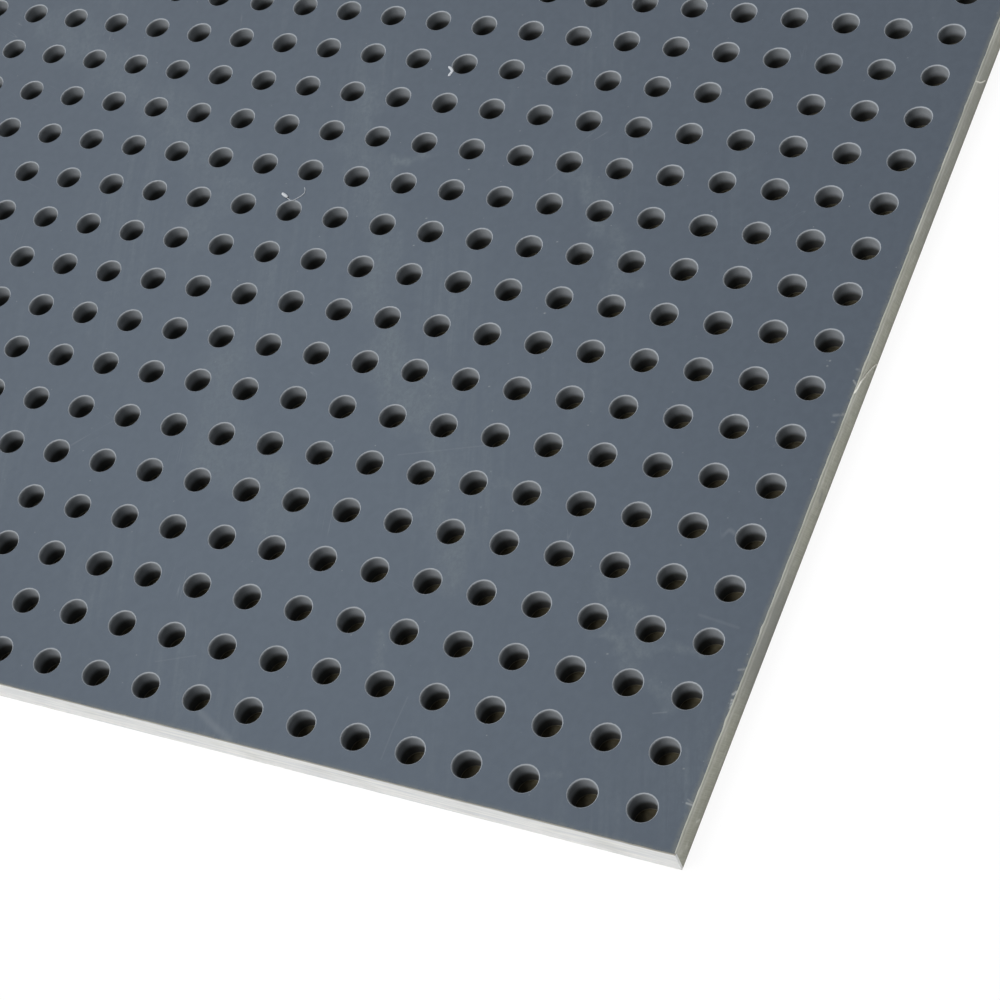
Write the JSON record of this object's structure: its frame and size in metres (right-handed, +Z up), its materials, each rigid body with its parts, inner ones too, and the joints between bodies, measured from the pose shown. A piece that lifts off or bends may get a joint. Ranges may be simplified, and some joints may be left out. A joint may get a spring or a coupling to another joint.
{
  "type": "perforated pvc sheet",
  "caption": "Flat square sheet of rigid grey PVC with round holes right through it in a close square pattern, sawn on all edges.",
  "frame": {"origin": "middle of the sheet's outline, on its underside", "axes": "+Z up through the thickness, X along the near edge, Y along the right-hand edge"},
  "size_m": [0.3, 0.3, 0.005],
  "materials": {
    "grey_pvc": "calendered satin face with fine scratches, paler where it was sawn and drilled"
  },
  "bodies": {
    "root": {"perforated_sheet": "grey_pvc"}
  },
  "joints": []
}
